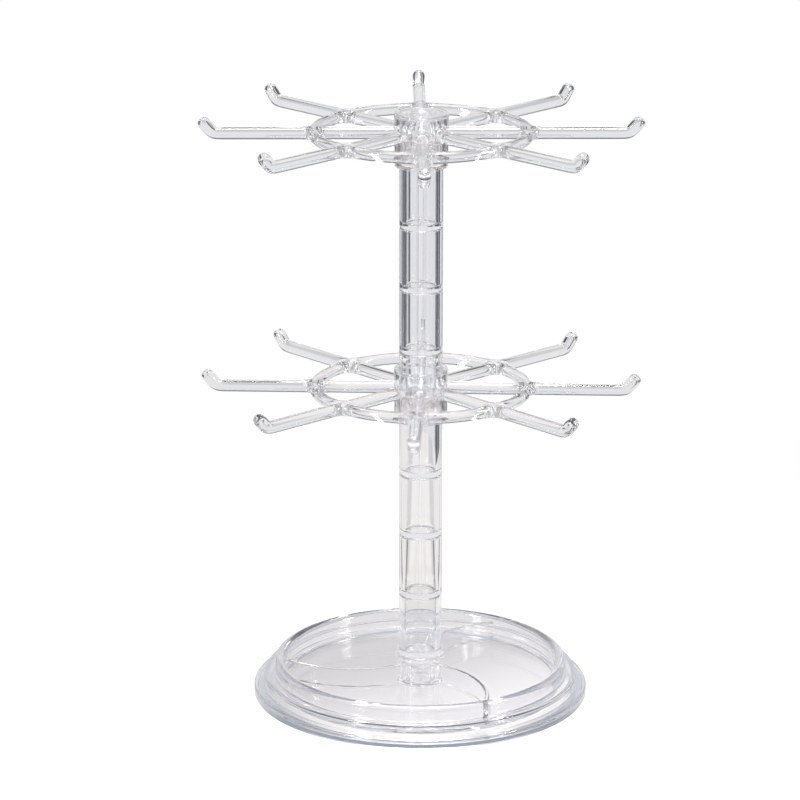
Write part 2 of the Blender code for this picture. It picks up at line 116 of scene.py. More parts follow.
# %% [markdown]
# Shader nodes are easier to read as sums than as lists of links. The small class below wraps one output
# socket. Plus, minus, times and divided by add a Math node each, plain numbers can take part in them, and
# one method makes any other kind of node.

# %% Shader maths as sums
MIX_FIRST, MIX_SECOND, MIX_COLOUR = 6, 7, 2    # the Mix node's two colour inputs and its colour output


class Wire:
    """An output socket in a node tree. Sums on it add Math nodes, node() adds any other."""

    def __init__(self, tree, socket=None):
        self.tree = tree
        self.socket = socket

    def node(self, kind, settings, sockets, output=0):
        """Add a node: first its settings, then a value or a link for each socket named."""
        made = self.tree.nodes.new(kind)
        for name, value in settings.items():
            setattr(made, name, value)
        for name, value in sockets.items():
            if isinstance(value, Wire):
                self.tree.links.new(value.socket, made.inputs[name])
            else:
                made.inputs[name].default_value = value
        return Wire(self.tree, made.outputs[output] if made.outputs else None)

    def maths(self, operation, first, second=0.0):
        """Add a Math node. Each side is a wire or a plain number."""
        return self.node("ShaderNodeMath", {"operation": operation}, {0: first, 1: second})

    def __add__(self, other):
        return self.maths("ADD", self, other)

    def __sub__(self, other):
        return self.maths("SUBTRACT", self, other)

    def __rsub__(self, other):
        return self.maths("SUBTRACT", other, self)

    def __mul__(self, other):
        return self.maths("MULTIPLY", self, other)

    def __truediv__(self, other):
        return self.maths("DIVIDE", self, other)

    __radd__ = __add__
    __rmul__ = __mul__

    def ramp(self, low, high):
        """0 up to low, 1 from high on, and a soft step between them."""
        limits = {"Value": self, "From Min": low, "From Max": high}
        return self.node("ShaderNodeMapRange", {"interpolation_type": "SMOOTHSTEP"}, limits)

    def blend(self, first, second):
        """A colour that goes from the first to the second as this value goes from 0 to 1."""
        sockets = {0: self, MIX_FIRST: first, MIX_SECOND: second}
        return self.node("ShaderNodeMix", {"data_type": "RGBA"}, sockets, output=MIX_COLOUR)

    def mix_shader(self, first, second):
        """A shader that goes from the first to the second as this value goes from 0 to 1."""
        return self.node("ShaderNodeMixShader", {}, {0: self, 1: first, 2: second})


def grey(value, tint=(1.0, 1.0, 1.0)):
    """A colour of a given lightness, with a slight tint."""
    return (*(value * part for part in tint), 1.0)


WHITE = grey(1.0)
print("shader maths ready, white is", WHITE)

# %% [markdown]
# Clear plastic shows its surroundings, so the room is half of the material. In the photograph the
# background behind the stand is plain white and the table under it is pale. The rest of the studio can't
# be seen, but the column has dark upright bands. They are read here as dark places to the left and right,
# bent into view by its thick wall.
# The room below is the world's colour by direction. What the camera sees directly is white. What is seen
# through or in the plastic has four layers. Low down there is a pale panel at every eighth of a turn, with
# dark gaps between them. Level with the stand, a pale backdrop goes all round. Above it the room is dark,
# which draws the thin dark lines under the arms and along the rims. Straight up there is a pale canopy
# with a strong light in its middle, which lies as a white line along the top of every rod.
# The panels were tuned against the photograph, for the view from the front alone. A plain white room
# would be simpler, but clear plastic has no visible edges in it.

# %% Room tones
PANELS = (                        # bearing from +Y to +X in degrees: from, to, and the lightness
    (-27.0, -18.0, 0.66), (-12.5, 27.0, 0.80),
    (43.0, 49.0, 0.35), (-49.0, -43.0, 0.35),
    (73.0, 107.0, 0.85), (-107.0, -73.0, 0.85),
    (123.0, 147.0, 0.85), (-147.0, -123.0, 0.85),
    (163.0, 197.0, 0.85),
)
PANEL_SOFTNESS = 2.0              # degrees over which a panel's edge fades
GAP_DARK = 0.03                   # lightness of the gaps between the panels
LOW_FADE = (-0.44, -0.27)         # sines of height between which the panels darken downwards
LOW_SHARE = 0.74                  # and the share of their lightness that they keep
GAP_TOP = (-0.06, 0.04)           # sines of height between which the gaps give way to the backdrop
BACKDROP_PALE = 0.82
BACKDROP_TOP = (0.36, 0.41)       # sines of the heights between which the backdrop ends
UPPER_DARK = 0.14
CANOPY = (0.70, 0.76)             # sines of the heights where the pale canopy begins and is full
CANOPY_PALE = 0.85
OVERHEAD = (0.92, 0.95)           # and where the overhead light in its middle begins and is full
OVERHEAD_STRENGTH = 4.0
ROOM_SHADE = grey(0.03, (0.75, 1.0, 1.5))
ROOM_LIGHT = grey(1.0, (0.98, 0.98, 1.01))
print("room tones for", len(PANELS), "panels")

# %% Room
POLE_GUARD = 0.0001               # keeps a division by zero away straight up and straight down

world = bpy.data.worlds.new("studio")
world.use_nodes = True
world.node_tree.nodes.clear()
room = Wire(world.node_tree)
direction = room.node("ShaderNodeTexCoord", {}, {}, output="Generated")
east, north, up = (
    room.node("ShaderNodeSeparateXYZ", {}, {0: direction}, output=axis) for axis in "XYZ")
level = room.maths("SQRT", east * east + north * north) + POLE_GUARD
around = GAP_DARK
for first, last, lightness in PANELS:
    bearing = math.radians(first + last) / 2
    half_width = (last - first) / 2
    outside = math.cos(math.radians(half_width + PANEL_SOFTNESS / 2))
    inside = math.cos(math.radians(half_width - PANEL_SOFTNESS / 2))
    towards = (east * math.sin(bearing) + north * math.cos(bearing)) / level
    around = around + towards.ramp(outside, inside) * (lightness - GAP_DARK)
raised = up.ramp(*GAP_TOP)
fade = up.ramp(*LOW_FADE) * (1.0 - LOW_SHARE) + LOW_SHARE
around = around * fade * (1.0 - raised) + raised * BACKDROP_PALE
above = up.ramp(*BACKDROP_TOP)
canopy = up.ramp(*CANOPY)
lightness = around * (1.0 - above) + above * UPPER_DARK
lightness = lightness * (1.0 - canopy) + canopy * CANOPY_PALE
bent_room = lightness.blend(ROOM_SHADE, ROOM_LIGHT)
seen_directly = room.node("ShaderNodeLightPath", {}, {}, output="Is Camera Ray")
room_colour = seen_directly.blend(bent_room, WHITE)
background = room.node("ShaderNodeBackground", {}, {"Color": room_colour, "Strength": 1.0})
overhead = room.node("ShaderNodeBackground", {}, {"Color": WHITE, "Strength": OVERHEAD_STRENGTH})
lit_from_above = up.ramp(*OVERHEAD) * (1.0 - seen_directly)
room.node("ShaderNodeOutputWorld", {}, {"Surface": lit_from_above.mix_shader(background, overhead)})
bpy.context.scene.world = world
bpy.context.scene.view_settings.view_transform = "Standard"
print("room of", len(world.node_tree.nodes), "nodes")

# %% [markdown]
# The floor is a round pale table top. Directly it is white, as the background is, with the stand's soft
# shadow. Seen through the plastic it shows painted light and shade of its own. The plastic bends each
# patch of the table into a certain line, so these tones were tuned, for the view from the front alone,
# until the lines looked much as they do in the photograph. One even tone would be simpler, and leave most
# lines out. The patches are:
# - under the tray, a painted shadow of the stand, greyer at the back and on the left, as the tray's floor
#   is in the photograph;
# - a ring of painted contact shadow where the tray touches, darker at the front, which gives its lower
#   edge a line;
# - a ring of painted shade past it at the front and sides, for the lines of the steps;
# - a pale warm field behind and farther out, greyer to the sides, which fills the lower column;
# - four patches of painted shade, left and right, behind and in front, of which the ones behind draw the
#   dark upper edges of the arms.
# From below the table isn't there, so that the underside of the stand can be looked at.

# %% Floor
FLOOR_RADIUS = 460.0
FLOOR_PLACE = (-80.0, 0.0)          # its middle lies a little to the left of the stand
FLOOR_SEGMENTS = 128

floor_shape = bmesh.new()
bmesh.ops.create_circle(
    floor_shape, cap_ends=True, segments=FLOOR_SEGMENTS, radius=FLOOR_RADIUS * MM)
bmesh.ops.translate(
    floor_shape, vec=(FLOOR_PLACE[0] * MM, FLOOR_PLACE[1] * MM, 0.0), verts=floor_shape.verts)
floor_mesh = bpy.data.meshes.new("floor")
floor_shape.to_mesh(floor_mesh)
floor_shape.free()
floor = bpy.data.objects.new("floor", floor_mesh)
bpy.context.scene.collection.objects.link(floor)
print("table top", 2 * FLOOR_RADIUS, "mm across")

# %% Table tones
TABLE_PAINT = grey(0.9)             # what lamps and shadows fall on
TABLE_WHITE = grey(1.05)            # the white that is mixed with it where it is seen directly
DIRECT_SHARE = 0.80                 # the share of that white
BENT_SHARE = 0.96                   # the share of the tones below, where plastic is in between
# Painted shadow of the stand under the tray, from the lighter front to the darker back
SHADOW_UNDER_BACK = grey(0.56, (1.02, 0.985, 0.985))
UNDER_FRONT = grey(0.96, (1.01, 0.98, 0.985))
# Painted contact shadow where the tray touches, and painted shade in the rings round it, darker at the
# front
CONTACT_SHADOW = grey(0.50, (0.9, 0.98, 1.12))
NEAR_TONE = grey(0.74, (1.0, 0.985, 0.99))
FRONT_SHADE = grey(0.30, (0.8, 0.95, 1.2))
PAINTED_SHADE = grey(0.04, (0.8, 1.0, 1.3))
BEHIND_TONE = grey(0.86, (1.02, 0.985, 0.97))
ASIDE_TONE = grey(0.60, (1.01, 0.99, 0.98))
FAR_ASIDE_TONE = grey(0.80, (1.01, 0.99, 0.98))
print("darkest and palest tone of the table:", PAINTED_SHADE[1], TABLE_WHITE[1])

# %% Where each tone lies
ZONES = (76.0, 83.0, 93.0, 112.0, 178.0)   # millimetres from the column where the next tone begins
ZONE_BLUR = 0.04                    # share of a zone's distance over which its tone comes in
BEHIND = (0.36, 0.46)               # cosines of the bearing from +Y: side becomes back
FRONT = (-0.6, -0.2)                # and front becomes side
BESIDE = (0.045, 0.065)             # metres to the side between which the last zone grows darker
FAR_ASIDE = (0.115, 0.125)          # and between which it grows pale again
UNDER_SLANT = 0.6                   # slant of the line between the two tones of the painted shadow under the tray
UNDER_BLEND = (-0.06, 0.06)         # metres across that line in which one tone becomes the other
SHADE_PATCH_ASIDE = (0.078, 0.112)         # metres to the side between which the patches of painted shade lie
SHADE_PATCH_DEPTH = (0.135, 0.225)         # and metres behind or in front
SHADE_PATCH_BLUR = 0.006                   # metres over which a patch's edge fades
AXIS_GUARD = 0.001                  # metres, keeps a division by zero away on the column's axis
print("tones begin at", ZONES, "mm")

# %% The table's finish
floor_material = bpy.data.materials.new("pale_table")
floor_material.use_nodes = True
floor_material.node_tree.nodes.clear()
table = Wire(floor_material.node_tree)
seen_directly = table.node("ShaderNodeLightPath", {}, {}, output="Is Camera Ray")
below = table.node("ShaderNodeNewGeometry", {}, {}, output="Backfacing")
lit = table.node("ShaderNodeBsdfDiffuse", {}, {"Color": TABLE_PAINT})
white = table.node("ShaderNodeEmission", {}, {"Color": TABLE_WHITE, "Strength": 1.0})
place = table.node("ShaderNodeTexCoord", {}, {}, output="Object")
distance = table.node("ShaderNodeVectorMath", {"operation": "LENGTH"}, {0: place}, output="Value")
aside, depth = (table.node("ShaderNodeSeparateXYZ", {}, {0: place}, output=axis) for axis in "XY")
sideways, lengthways = (table.maths("ABSOLUTE", way) for way in (aside, depth))
bearing = depth / (distance + AXIS_GUARD)
behind = bearing.ramp(*BEHIND)
past_front = bearing.ramp(*FRONT)
beside = sideways.ramp(*BESIDE)
far_aside = sideways.ramp(*FAR_ASIDE)
# Painted shadow of the stand under the tray, darker at the back and on the left
shade = (depth - aside * UNDER_SLANT).ramp(*UNDER_BLEND).blend(UNDER_FRONT, SHADOW_UNDER_BACK)
next_tones = (
    past_front.blend(FRONT_SHADE, CONTACT_SHADOW),
    past_front.blend(FRONT_SHADE, NEAR_TONE),
    behind.blend(PAINTED_SHADE, NEAR_TONE),
    behind.blend(PAINTED_SHADE, BEHIND_TONE),
    far_aside.blend(beside.blend(BEHIND_TONE, ASIDE_TONE), FAR_ASIDE_TONE),
)
# Rings of painted contact shadow and painted shade round the tray, then the paler field farther out
for begins, next_tone in zip(ZONES, next_tones):
    shade = distance.ramp(begins * MM, begins * (1.0 + ZONE_BLUR) * MM).blend(shade, next_tone)
# Four patches of painted shade on the table, left and right, behind and in front
in_shade_patch = 1.0
for way, (near, far) in ((sideways, SHADE_PATCH_ASIDE), (lengthways, SHADE_PATCH_DEPTH)):
    in_shade_patch = way.ramp(near, near + SHADE_PATCH_BLUR) * (1.0 - way.ramp(far, far + SHADE_PATCH_BLUR)) * in_shade_patch
shade = in_shade_patch.blend(shade, PAINTED_SHADE)
tone = table.node("ShaderNodeEmission", {}, {"Color": shade, "Strength": 1.0})
direct_look = table.node("ShaderNodeMixShader", {}, {0: DIRECT_SHARE, 1: lit, 2: white})
bent_look = table.node("ShaderNodeMixShader", {}, {0: BENT_SHARE, 1: lit, 2: tone})
from_above = seen_directly.mix_shader(bent_look, direct_look)
nothing = table.node("ShaderNodeBsdfTransparent", {}, {"Color": WHITE})
table.node("ShaderNodeOutputMaterial", {}, {"Surface": below.mix_shader(from_above, nothing)})
floor_mesh.materials.append(floor_material)
print("table's finish of", len(floor_material.node_tree.nodes), "nodes")

# %% [markdown]
# Three softboxes give the glints and the shadow. A broad one hangs over the stand, a tall one stands at
# the front left, and a smaller warm one at the front right lights the right side of the rims and hooks.

# %% Lamps
LAMPS = {                           # place and size in metres, power in watts, and tint
    "overhead": ((0.1, -0.2, 1.5), (0.5, 0.5), 12.0, (1.0, 1.0, 1.0)),
    "front_left": ((-1.1, -0.9, 0.9), (0.2, 0.8), 14.0, (0.98, 0.99, 1.0)),
    "front_right": ((1.2, -0.5, 0.7), (0.15, 0.6), 9.0, (1.0, 0.98, 0.95)),
}
LAMP_AIM = (0.0, 0.0, 0.15)         # metres, the middle of the stand


def add_lamp(name, place, size, power, tint):
    """A rectangular softbox that faces the middle of the stand."""
    data = bpy.data.lights.new(name, "AREA")
    data.shape = "RECTANGLE"
    data.size, data.size_y = size
    data.energy = power
    data.color = tint
    lamp = bpy.data.objects.new(name, data)
    bpy.context.scene.collection.objects.link(lamp)
    aim = Vector(LAMP_AIM) - Vector(place)
    lamp.matrix_world = Matrix.Translation(place) @ aim.to_track_quat("-Z", "Y").to_matrix().to_4x4()


for lamp_name, settings in LAMPS.items():
    add_lamp(lamp_name, *settings)
print(len(LAMPS), "softboxes")

# %% [markdown]
# Light has to cross many walls here: a look through the column, a collar and a drum passes a dozen
# surfaces. The renderer's usual limit on bounces would turn those places black, so it is raised.

# %% Bounces
BOUNCES = 32

cycles = bpy.context.scene.cycles
cycles.max_bounces = BOUNCES
cycles.transmission_bounces = BOUNCES
cycles.glossy_bounces = BOUNCES
cycles.transparent_max_bounces = BOUNCES
print("bounces", BOUNCES)

# %% [markdown]
# The plastic. A moulded clear part isn't perfect glass: melt flowing into the mould leaves very shallow
# waves, the colour drifts a little where the wall is thick, and handling dulls some patches.
# The shader is one Principled node with full transmission. Waves go in by a Bump node, tint and dullness
# by noise on Object coordinates, which stay with the piece when it turns. Lamps shine through by a
# Transparent shader for shadow rays, which keeps the stand's shadow as pale as the real one.

# %% Clear plastic
REFRACTION = 1.49
WAVES = (11.0, 1.0)           # noise of the flow waves: millimetres across a patch, and detail
CLOUDS = (45.0, 2.0)          # noise of the drifting tint
HANDLING = (14.0, 3.0)        # noise of the patches dulled by handling
CLOUD_EDGES = (0.35, 0.65)    # noise values between which the pale tint becomes the deep one
HANDLED_EDGES = (0.5, 0.8)    # and between which a polished face becomes a dulled one
SHADOW_TINT = grey(0.93, (0.99, 0.99, 1.0))


def clear_plastic(name, pale, deep, polished, dulled, wave):
    """A water-clear moulded plastic. It drifts between two tints and two roughnesses, and has waves."""
    material = bpy.data.materials.new(name)
    material.use_nodes = True
    material.node_tree.nodes.clear()
    plastic = Wire(material.node_tree)
    place = plastic.node("ShaderNodeTexCoord", {}, {}, output="Object")

    def noise(patch, detail):
        """Noise that stays with the piece, in patches of so many millimetres."""
        sockets = {"Vector": place, "Scale": 1.0 / (patch * MM), "Detail": detail}
        return plastic.node("ShaderNodeTexNoise", {}, sockets)

    tint = noise(*CLOUDS).ramp(*CLOUD_EDGES).blend(grey(1.0, pale), grey(1.0, deep))
    flow = {"Strength": 1.0, "Distance": wave * MM, "Height": noise(*WAVES)}
    waves = plastic.node("ShaderNodeBump", {}, flow)
    roughness = noise(*HANDLING).ramp(*HANDLED_EDGES) * (dulled - polished) + polished
    body = plastic.node(
        "ShaderNodeBsdfPrincipled", {}, {
            "Base Color": tint, "Roughness": roughness, "IOR": REFRACTION,
            "Transmission Weight": 1.0, "Normal": waves})
    passed = plastic.node("ShaderNodeBsdfTransparent", {}, {"Color": SHADOW_TINT})
    shadow_ray = plastic.node("ShaderNodeLightPath", {}, {}, output="Is Shadow Ray")
    plastic.node("ShaderNodeOutputMaterial", {}, {"Surface": shadow_ray.mix_shader(body, passed)})
    return material


print("plastic of index", REFRACTION)

# %% [markdown]
# The stand is all one plastic, but its pieces don't look the same. The tray's broad floor has a trace of
# mauve. The collars look a little rosy and dull in the photograph, and the spindle inside the upper drum
# is a plainer moulding that nobody sees, so both are less polished than the rest.

# %% The stand's plastics
CLEAR = {"pale": (0.995, 0.995, 0.995), "deep": (0.98, 0.985, 0.995)}
MAUVE = {"pale": (0.995, 0.99, 1.0), "deep": (0.98, 0.98, 0.995)}
ROSY = {"pale": (0.995, 0.975, 0.965), "deep": (0.99, 0.965, 0.96)}
BRIGHT = {"polished": 0.0, "dulled": 0.015, "wave": 0.004}    # two roughnesses, and waves in millimetres
MATT = {"polished": 0.06, "dulled": 0.14, "wave": 0.01}
PLAIN = {"polished": 0.02, "dulled": 0.06, "wave": 0.004}

tray_plastic = clear_plastic("tray_plastic", **MAUVE, **BRIGHT)
column_plastic = clear_plastic("column_plastic", **CLEAR, **BRIGHT)
collar_plastic = clear_plastic("collar_plastic", **ROSY, **MATT)
tier_plastic = clear_plastic("tier_plastic", **CLEAR, **BRIGHT)
inner_plastic = clear_plastic("inner_plastic", **CLEAR, **PLAIN)
print("plastics:", [material.name for material in bpy.data.materials if "plastic" in material.name])

# %% [markdown]
# Most pieces are turned shapes, so the first tool is a lathe. A section is a list of corners, each with
# its own small radius, because a moulded part has no knife edges and the glints sit on those radii.
# The outline is spun round the axis with bmesh's spin, which welds the seam.

# %% Rounding a section
CORNER_STEPS = 6


def rounded(corners):
    """An outline from corners (across, up, radius). Each corner becomes an arc of its radius."""
    points = []
    count = len(corners)
    for index, (across, up, radius) in enumerate(corners):
        here = Vector((across, up))
        if radius == 0.0:
            points.append(here)
            continue
        back = (Vector(corners[index - 1][:2]) - here).normalized()
        ahead = (Vector(corners[(index + 1) % count][:2]) - here).normalized()
        half = back.angle(ahead) / 2
        middle = here + (back + ahead).normalized() * radius / math.sin(half)
        first = here + back * radius / math.tan(half) - middle
        last = here + ahead * radius / math.tan(half) - middle
        turn = first.angle_signed(last)
        for step in range(CORNER_STEPS + 1):
            swung = Matrix.Rotation(-turn * step / CORNER_STEPS, 2) @ first
            points.append(middle + swung)
    return points


print("a rounded corner has", CORNER_STEPS + 1, "points")

# %% Lathe
TURN_STEPS = 128
MERGE_DISTANCE = 1e-4      # points nearer than this are one point


def spun(outline, steps=TURN_STEPS, lift=0.0):
    """Spin an outline in the XZ plane all the way round the axis, as a closed bmesh."""
    shape = bmesh.new()
    ring = [shape.verts.new((across, 0.0, up + lift)) for across, up in outline]
    pairs = list(zip(ring, ring[1:]))
    if outline[0][0] > 0.0:     # a section that stays off the axis is closed on itself
        pairs.append((ring[-1], ring[0]))
    line = [shape.edges.new(pair) for pair in pairs]
    bmesh.ops.spin(
        shape, geom=ring + line, cent=(0.0, 0.0, 0.0), axis=(0.0, 0.0, 1.0), angle=math.tau,
        steps=steps, use_merge=True, use_normal_flip=False, use_duplicate=False)
    bmesh.ops.remove_doubles(shape, verts=shape.verts, dist=MERGE_DISTANCE)
    bmesh.ops.recalc_face_normals(shape, faces=shape.faces)
    return shape


print("lathe ready,", TURN_STEPS, "steps a turn")

# %% [markdown]
# Every piece is finished in the same way. Its bmesh in millimetres becomes a mesh in metres. Faces are
# shaded smooth but for the sharp edges, and a Weighted Normal modifier keeps broad flat faces flat beside
# their small radii, which matters more on clear plastic than on anything opaque. Then the piece is hung on
# an empty for the body it rides on, and the imported nodes it stands for are hidden.

# %% Finishing a piece
FLAT_ANGLE = 30.0          # degrees from which an edge counts as sharp


def finished(shape, name, material, body, *nodes, flat=FLAT_ANGLE):
    """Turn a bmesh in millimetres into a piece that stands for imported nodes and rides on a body."""
    bmesh.ops.transform(shape, matrix=Matrix.Scale(MM, 4), verts=shape.verts)
    mesh = bpy.data.meshes.new(name)
    shape.to_mesh(mesh)
    shape.free()
    mesh.materials.append(material)
    mesh.shade_smooth()
    mesh.set_sharp_from_angle(angle=math.radians(flat))
    piece = bpy.data.objects.new(name, mesh)
    bpy.context.scene.collection.objects.link(piece)
    weighted = piece.modifiers.new("Flat faces stay flat", "WEIGHTED_NORMAL")
    weighted.keep_sharp = True
    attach(piece, body)
    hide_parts(*nodes)
    print(name, len(mesh.vertices), "vertices")


print("sharp from", FLAT_ANGLE, "degrees")

# %% [markdown]
# The tray is one moulding: a floor, a round rim, a step and a lip on a hollow skirt, with a boss in the
# middle and three bowed dividers. It could be pushed out of a cylinder by hand, but a turned section keeps
# every wall to its thickness. The tray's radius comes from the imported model, and the sizes below step
# inwards and upwards from it.

# %% Tray sizes
EDGE = 0.5                 # softened edges of a clear moulding
LEDGE_WIDTH, STEP_WIDTH, RIM_WIDTH = 5.2, 5.4, 5.2
LIP_HEIGHT, STEP_HEIGHT, RIM_HEIGHT = 4.9, 5.8, 7.7
RIM_FLAT = 0.05            # half of what stays flat on top of the round rim
TRAY_WALL = 2.4
FLOOR_LIFT = 3.3
TRAY_FILLET = 1.2
BOSS_BORE, BOSS_RADIUS, BOSS_HEIGHT = 7.9, 11.2, 9.7
DIVIDER_COUNT = 3
DIVIDER_EDGE = 0.9
DIVIDER_THICKNESS, DIVIDER_DROP, DIVIDER_BOW = 2.0, 2.8, 11.3
DIVIDER_START, DIVIDER_SWEEP = -151.0, -32.5     # degrees
DIVIDER_STEPS = 40
TRAY_STEPS = 320

step_radius = tray_radius - LEDGE_WIDTH
rim_radius = step_radius - STEP_WIDTH
tray_inside = rim_radius - RIM_WIDTH
floor_top = FLOOR_LIFT + TRAY_WALL
step_top = LIP_HEIGHT + STEP_HEIGHT
rim_top = step_top + RIM_HEIGHT
rim_round = RIM_WIDTH / 2 - RIM_FLAT
boss_top = floor_top + BOSS_HEIGHT
print("rim at", rim_top, "mm, boss at", boss_top, "mm")

# %% [markdown]
# Two closed shapes become one with a Boolean modifier. They could also be left overlapping, but clear
# plastic would then show walls inside it where the real moulding is solid. The exact solver is the slower
# one and the more dependable on curved walls. A second helper repeats a shape evenly round the axis.

# %% Joining with a Boolean


def combined(blank, tool, operation):
    """Join or cut two closed bmeshes and return the result as a bmesh."""
    sides = []
    for name, shape in (("blank", blank), ("tool", tool)):
        mesh = bpy.data.meshes.new(name)
        shape.to_mesh(mesh)
        shape.free()
        sides.append(bpy.data.objects.new(name, mesh))
        bpy.context.scene.collection.objects.link(sides[-1])
    boolean = sides[0].modifiers.new("join", "BOOLEAN")
    boolean.operation = operation
    boolean.solver = "EXACT"
    boolean.object = sides[1]
    graph = bpy.context.evaluated_depsgraph_get()
    result = bmesh.new()
    result.from_mesh(sides[0].evaluated_get(graph).to_mesh())
    for side in sides:
        bpy.data.objects.remove(side)
    bmesh.ops.remove_doubles(result, verts=result.verts, dist=MERGE_DISTANCE)
    return result


def copied_round(shape, count):
    """Repeat a bmesh evenly round the axis."""
    ring = bmesh.new()
    mesh = bpy.data.meshes.new("copy")
    shape.to_mesh(mesh)
    shape.free()
    for index in range(count):
        before = len(ring.verts)
        ring.from_mesh(mesh)
        ring.verts.ensure_lookup_table()
        turn = Matrix.Rotation(math.tau * index / count, 4, "Z")
        bmesh.ops.transform(ring, matrix=turn, verts=ring.verts[before:])
    bpy.data.meshes.remove(mesh)
    return ring


print("Boolean helper ready")

# %% [markdown]
# A divider is a low wall that bows sideways on its way from the boss to the rim. Its section, which has a
# softened top, is spun about the centre of its own bow. A straight wall bent by a modifier would do as
# well, but a spin gives the bow its exact radius. Its foot and its two ends reach into the plastic beside
# them, because a Boolean works best where shapes overlap and don't just touch.

# %% Dividers


def divider():
    """One bowed divider, from inside the boss's wall to inside the rim's wall."""
    inner = (BOSS_RADIUS + BOSS_BORE) / 2
    outer = tray_inside + TRAY_WALL / 2
    start = Matrix.Rotation(math.radians(DIVIDER_START), 2) @ Vector((inner, 0.0))
    end = Matrix.Rotation(math.radians(DIVIDER_START + DIVIDER_SWEEP), 2) @ Vector((outer, 0.0))
    chord = end - start
    bend_radius = (chord.length ** 2 / 4 + DIVIDER_BOW ** 2) / (2 * DIVIDER_BOW)
    across = Vector((chord.y, -chord.x)).normalized()
    centre = (start + end) / 2 + across * (bend_radius - DIVIDER_BOW)
    sweep = 2 * math.asin(chord.length / 2 / bend_radius)
    outward = (start - centre).normalized()
    half = DIVIDER_THICKNESS / 2
    foot = FLOOR_LIFT + TRAY_WALL / 2
    section = rounded([
        (bend_radius - half, foot, 0.0), (bend_radius + half, foot, 0.0),
        (bend_radius + half, rim_top - DIVIDER_DROP, DIVIDER_EDGE),
        (bend_radius - half, rim_top - DIVIDER_DROP, DIVIDER_EDGE)])
    strip = bmesh.new()
    corners = [
        strip.verts.new((centre.x + outward.x * out, centre.y + outward.y * out, up))
        for out, up in section]
    face = strip.faces.new(corners)
    bmesh.ops.spin(
        strip, geom=[face, *face.edges, *face.verts], cent=(*centre, 0.0), axis=(0.0, 0.0, 1.0),
        angle=-sweep, steps=DIVIDER_STEPS, use_merge=False, use_normal_flip=False,
        use_duplicate=False)
    bmesh.ops.recalc_face_normals(strip, faces=strip.faces)
    return strip


def open_edges(shape):
    """How many edges of a bmesh don't have a face on both sides."""
    return sum(not edge.is_manifold for edge in shape.edges)


print("open edges on a divider:", open_edges(divider()))

# %% [markdown]
# The tray's section starts in the middle of its floor, goes out over the boss, the rim, the step and the
# lip, and comes back underneath. The rim's two top corners have a radius of nearly half its width, which
# makes its top fully round. The three dividers are then joined to it.

# %% Tray
TRAY_SECTION = [           # across, up, and the corner's radius
    (0.0, floor_top, 0.0),
    (BOSS_BORE, floor_top, 0.3),
    (BOSS_BORE, boss_top, 0.4),
    (BOSS_RADIUS, boss_top, 0.8),
    (BOSS_RADIUS, floor_top, TRAY_FILLET),
    (tray_inside, floor_top, TRAY_FILLET),
    (tray_inside, rim_top, rim_round),
    (rim_radius, rim_top, rim_round),
    (rim_radius, step_top, 0.8),
    (step_radius, step_top, 1.0),
    (step_radius, LIP_HEIGHT, 0.8),
    (tray_radius, LIP_HEIGHT, 1.0),
    (tray_radius, 0.0, EDGE),
    (tray_radius - TRAY_WALL, 0.0, EDGE),
    (tray_radius - TRAY_WALL, LIP_HEIGHT - TRAY_WALL, EDGE),
    (step_radius - TRAY_WALL, LIP_HEIGHT - TRAY_WALL, EDGE),
    (step_radius - TRAY_WALL, step_top - TRAY_WALL, EDGE),
    (tray_inside + TRAY_WALL, step_top - TRAY_WALL, EDGE),
    (tray_inside + TRAY_WALL, FLOOR_LIFT, EDGE),
    (0.0, FLOOR_LIFT, 0.0),
]

tray = combined(
    spun(rounded(TRAY_SECTION), steps=TRAY_STEPS), copied_round(divider(), DIVIDER_COUNT), "UNION")
print("open edges on the tray:", open_edges(tray))
finished(tray, "tray", tray_plastic, "stand", "base_tray")

# %% [markdown]
# The foot is a shallow cup with a flange. It plugs into the tray's boss and the column stands in it. The
# photograph shows only the flange, so the tube below is a plain guess. One turned section makes it all,
# where two cylinders would need a Boolean.

# %% Foot
FOOT_FLOOR, FOOT_CUP_DEPTH, FOOT_FLANGE = 3.4, 1.5, 1.4
SPIGOT_RADIUS, SPIGOT_WALL = 7.6, 2.0

socket_radius = column_radius + CLEARANCE
flange_radius = column_radius + FOOT_FLANGE
foot_base = boss_top + CLEARANCE
cup_floor = foot_base + FOOT_FLOOR
cup_top = cup_floor + FOOT_CUP_DEPTH
FOOT_SECTION = [
    (0.0, cup_floor, 0.0),
    (socket_radius, cup_floor, 0.2),
    (socket_radius, cup_top, 0.2),
    ((socket_radius + flange_radius) / 2, cup_top, 0.3),
    (flange_radius, cup_floor + FOOT_CUP_DEPTH / 2, 0.5),
    (flange_radius, foot_base, 0.4),
    (SPIGOT_RADIUS, foot_base, 0.2),
    (SPIGOT_RADIUS, floor_top + CLEARANCE, 0.3),
    (SPIGOT_RADIUS - SPIGOT_WALL, floor_top + CLEARANCE, 0.3),
    (SPIGOT_RADIUS - SPIGOT_WALL, foot_base, 0.3),
    (0.0, foot_base, 0.0),
]
finished(spun(rounded(FOOT_SECTION)), "foot", column_plastic, "stand", "column_foot")

# %% [markdown]
# The column is four equal half tubes, two below and two above, the upper ones upside down. Each has
# stiffening discs across it. These could be separate plates in a plain tube, but a moulded half would
# have them in one with its wall. So its section is a comb: the wall is the back, the discs the teeth.

# %% Column section
COLUMN_WALL = 3.2
BAY_PITCH, DISC_THICKNESS, BAY_ROUND = 32.45, 2.6, 1.0

bore = column_radius - COLUMN_WALL
column_length = column_span["lower"][1] - column_span["lower"][0]


